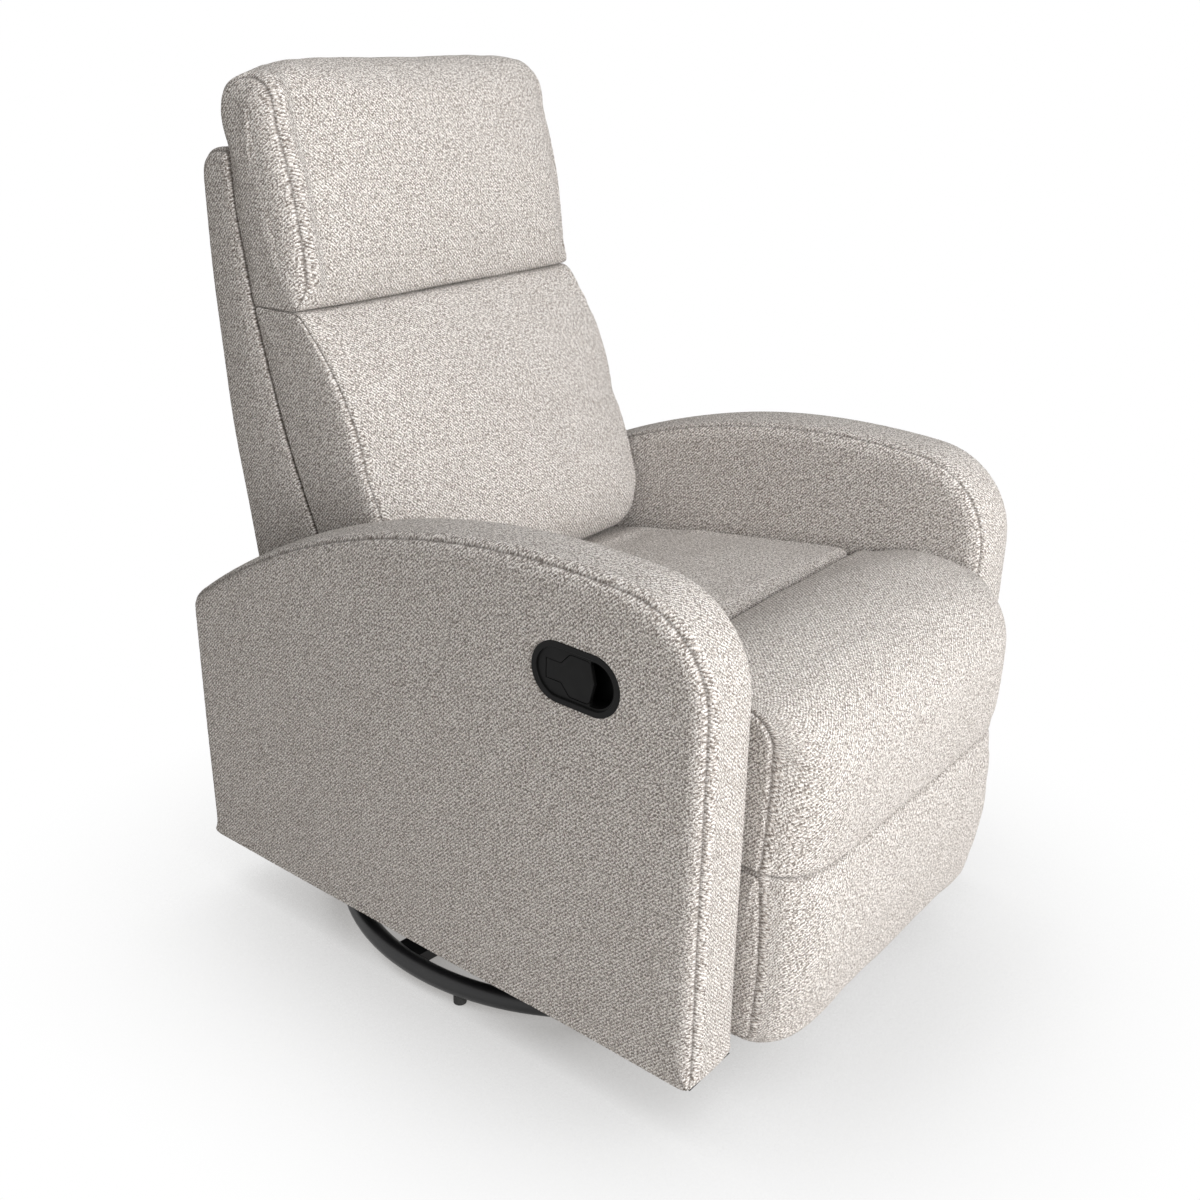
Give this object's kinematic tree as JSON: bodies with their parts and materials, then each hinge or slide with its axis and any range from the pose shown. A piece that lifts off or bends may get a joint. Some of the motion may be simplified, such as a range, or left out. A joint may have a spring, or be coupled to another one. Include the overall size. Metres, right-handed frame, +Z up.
{
  "type": "swivel recliner armchair",
  "caption": "Upholstered swivel recliner with rounded track arms, split back cushions, a fold-out footrest, an oval pull handle and a round tube base.",
  "frame": {"origin": "centre of the chair's bounding box on the floor", "axes": "+Z up, the sitter faces -Y, the release handle is on the -X arm"},
  "size_m": [0.671, 0.8758, 1.0461],
  "materials": {
    "upholstery": "mottled greige tweed",
    "black_steel": "satin black",
    "zinc_steel": "bright zinc",
    "plywood": "bare",
    "black_cloth": "non-woven",
    "black_plastic": "fine satin",
    "glide_rubber": "matt"
  },
  "bodies": {
    "base": {"base_ring": "black_steel", "base_cross": "black_steel", "base_feet": "glide_rubber", "swivel_lower_plate": "zinc_steel", "swivel_balls": "zinc_steel", "swivel_bolt": "zinc_steel", "base_screws": "zinc_steel"},
    "chassis": {"swivel_upper_plate": "zinc_steel", "chassis_rail_front": "black_steel", "chassis_rail_rear": "black_steel", "chassis_bolts": "zinc_steel", "chassis_plate_left": "black_steel", "chassis_plate_right": "black_steel", "swing_base_pins": "zinc_steel", "arm_bolts": "zinc_steel", "arm_cover_left": "upholstery", "arm_cover_right": "upholstery", "arm_frame_left": "plywood", "arm_frame_right": "plywood", "arm_trim_left": "black_cloth", "arm_trim_right": "black_cloth", "rear_apron": "upholstery", "handle_cup": "black_plastic", "handle_pin": "zinc_steel", "handle_spring": "zinc_steel"},
    "handle": {"handle_paddle": "black_plastic"},
    "swing_front": {"swing_links_front": "black_steel"},
    "swing_rear": {"swing_links_rear": "black_steel"},
    "seat": {"seat_plate_left": "black_steel", "seat_plate_right": "black_steel", "seat_frame": "plywood", "seat_spacers": "zinc_steel", "swing_seat_pins": "zinc_steel", "link_root_pins": "zinc_steel", "back_pivot_pins": "zinc_steel", "seat_springs": "zinc_steel", "seat_spring_clips": "zinc_steel", "seat_pad": "upholstery", "front_bolster": "upholstery"},
    "footrest": {"footrest_board": "plywood", "footrest_brackets": "black_steel", "footrest_pins": "zinc_steel", "leg_pad": "upholstery", "foot_pad": "upholstery"},
    "rear_link": {"rear_links": "black_steel", "rear_link_pins": "zinc_steel"},
    "front_link": {"front_links": "black_steel", "front_link_pins": "zinc_steel"},
    "cross_link_rear": {"cross_links_rear": "black_steel"},
    "cross_link_front": {"cross_links_front": "black_steel", "cross_link_pins": "zinc_steel"},
    "back": {"back_shell": "upholstery", "back_frame": "plywood", "back_webbing": "black_cloth", "back_brackets": "black_steel", "lumbar_cushion": "upholstery", "head_cushion": "upholstery"}
  },
  "joints": [
    {"name": "swivel", "type": "hinge", "parent": "base", "child": "chassis", "pos_m": [0, 0.035, 0.0425], "axis": [0, 0, 1], "continuous": true},
    {"name": "release_handle", "type": "hinge", "parent": "chassis", "child": "handle", "pos_m": [-0.328, -0.18, 0.49863], "axis": [0, 0.0175, -0.9998], "range_deg": [0, 40], "stiffness_Nm_per_rad": 0.25, "springref_deg": -20.05},
    {"name": "swing_front", "type": "hinge", "parent": "chassis", "child": "swing_front", "pos_m": [0, -0.11, 0.11], "axis": [1, 0, 0], "range_deg": [0, 36]},
    {"name": "swing_rear", "type": "hinge", "parent": "chassis", "child": "swing_rear", "pos_m": [0, 0.11, 0.11], "axis": [1, 0, 0], "range_deg": [0, 36]},
    {"name": "seat_level", "type": "hinge", "parent": "swing_front", "child": "seat", "pos_m": [0, -0.07601, 0.21462], "axis": [1, 0, 0], "range_deg": [-36, 0]},
    {"name": "back_recline", "type": "hinge", "parent": "seat", "child": "back", "pos_m": [0, 0.19, 0.3], "axis": [-1, 0, 0], "range_deg": [0, 36]},
    {"name": "footrest_open", "type": "hinge", "parent": "seat", "child": "footrest", "pos_m": [0, -0.436, 0.455], "axis": [-1, 0, 0], "range_deg": [0, 85]},
    {"name": "rear_link_swing", "type": "hinge", "parent": "seat", "child": "rear_link", "pos_m": [0, -0.236, 0.34], "axis": [-1, 0, 0], "range_deg": [0, 85]},
    {"name": "front_link_fold", "type": "hinge", "parent": "rear_link", "child": "front_link", "pos_m": [0, -0.148, 0.129], "axis": [-1, 0, 0], "range_deg": [-85, 0]},
    {"name": "cross_rear_fold", "type": "hinge", "parent": "rear_link", "child": "cross_link_rear", "pos_m": [0, -0.192, 0.2345], "axis": [-1, 0, 0], "range_deg": [-85, 0]},
    {"name": "cross_front_fold", "type": "hinge", "parent": "front_link", "child": "cross_link_front", "pos_m": [0, -0.248, 0.1865], "axis": [-1, 0, 0], "range_deg": [0, 85]}
  ],
  "couplings": [
    {"joint": "swing_front", "follows": "back_recline", "ratio": 1},
    {"joint": "swing_rear", "follows": "back_recline", "ratio": 1},
    {"joint": "seat_level", "follows": "back_recline", "ratio": -1},
    {"joint": "rear_link_swing", "follows": "footrest_open", "ratio": 1},
    {"joint": "front_link_fold", "follows": "footrest_open", "ratio": -1},
    {"joint": "cross_rear_fold", "follows": "footrest_open", "ratio": -1},
    {"joint": "cross_front_fold", "follows": "footrest_open", "ratio": 1}
  ]
}
